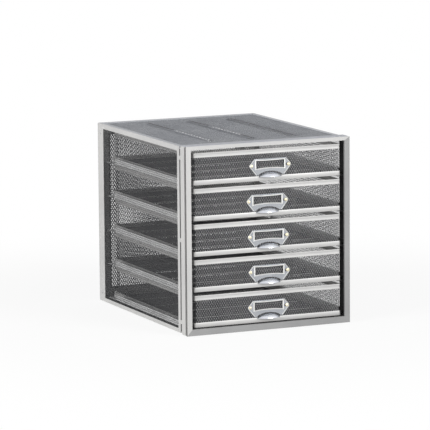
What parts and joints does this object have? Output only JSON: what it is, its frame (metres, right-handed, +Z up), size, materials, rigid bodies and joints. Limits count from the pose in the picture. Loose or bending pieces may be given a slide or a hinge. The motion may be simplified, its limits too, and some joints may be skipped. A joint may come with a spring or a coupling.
{
  "type": "desktop mini drawers",
  "caption": "Silver wire-mesh desktop chest with a deep steel front frame and sliding mesh drawers, each with a riveted label holder and cup pull.",
  "frame": {"origin": "middle of the footprint, on the surface that the chest stands on", "axes": "+X to the right as seen from the front, +Y to the back, +Z up; the drawers open along -Y"},
  "size_m": [0.275, 0.355, 0.29],
  "materials": {
    "silver_strip": "satin silver powder coat",
    "case_mesh": "satin silver powder coat on expanded mesh",
    "drawer_mesh": "satin silver powder coat on expanded mesh",
    "backing_mesh": "satin dark grey",
    "runner_steel": "satin silver powder coat",
    "plated_pull": "soft polished plating",
    "brass_rivet": "pale polished",
    "case_rivet": "dark satin",
    "dark_strap": "matt black",
    "foot_rubber": "matt black"
  },
  "bodies": {
    "case": {"front_bezel_top": "silver_strip", "front_bezel_bottom": "silver_strip", "front_bezel_left": "silver_strip", "front_bezel_right": "silver_strip", "front_hoop": "silver_strip", "left_side_frame": "silver_strip", "left_side_mesh": "case_mesh", "right_side_frame": "silver_strip", "right_side_mesh": "case_mesh", "back_frame": "silver_strip", "back_mesh": "case_mesh", "top_frame": "silver_strip", "top_mesh": "case_mesh", "bottom_frame": "silver_strip", "bottom_mesh": "case_mesh", "left_front_strap": "dark_strap", "right_front_strap": "dark_strap", "rear_feet": "foot_rubber", "case_rivets": "case_rivet", "left_runner_1": "runner_steel", "right_runner_1": "runner_steel", "left_runner_2": "runner_steel", "right_runner_2": "runner_steel", "left_runner_3": "runner_steel", "right_runner_3": "runner_steel", "left_runner_4": "runner_steel", "right_runner_4": "runner_steel", "left_runner_5": "runner_steel", "right_runner_5": "runner_steel"},
    "drawer_1": {"drawer_1_tray": "drawer_mesh", "drawer_1_rim": "silver_strip", "drawer_1_base_band": "silver_strip", "drawer_1_label_pull": "plated_pull", "drawer_1_rivets": "brass_rivet", "drawer_1_backing_plate": "backing_mesh"},
    "drawer_2": {"drawer_2_tray": "drawer_mesh", "drawer_2_rim": "silver_strip", "drawer_2_base_band": "silver_strip", "drawer_2_label_pull": "plated_pull", "drawer_2_rivets": "brass_rivet", "drawer_2_backing_plate": "backing_mesh"},
    "drawer_3": {"drawer_3_tray": "drawer_mesh", "drawer_3_rim": "silver_strip", "drawer_3_base_band": "silver_strip", "drawer_3_label_pull": "plated_pull", "drawer_3_rivets": "brass_rivet", "drawer_3_backing_plate": "backing_mesh"},
    "drawer_4": {"drawer_4_tray": "drawer_mesh", "drawer_4_rim": "silver_strip", "drawer_4_base_band": "silver_strip", "drawer_4_label_pull": "plated_pull", "drawer_4_rivets": "brass_rivet", "drawer_4_backing_plate": "backing_mesh"},
    "drawer_5": {"drawer_5_tray": "drawer_mesh", "drawer_5_rim": "silver_strip", "drawer_5_base_band": "silver_strip", "drawer_5_label_pull": "plated_pull", "drawer_5_rivets": "brass_rivet", "drawer_5_backing_plate": "backing_mesh"}
  },
  "joints": [
    {"name": "drawer_1_slide", "type": "slide", "parent": "case", "child": "drawer_1", "axis": [0, -1, 0], "range_m": [0, 0.25]},
    {"name": "drawer_2_slide", "type": "slide", "parent": "case", "child": "drawer_2", "axis": [0, -1, 0], "range_m": [0, 0.25]},
    {"name": "drawer_3_slide", "type": "slide", "parent": "case", "child": "drawer_3", "axis": [0, -1, 0], "range_m": [0, 0.25]},
    {"name": "drawer_4_slide", "type": "slide", "parent": "case", "child": "drawer_4", "axis": [0, -1, 0], "range_m": [0, 0.25]},
    {"name": "drawer_5_slide", "type": "slide", "parent": "case", "child": "drawer_5", "axis": [0, -1, 0], "range_m": [0, 0.25]}
  ]
}
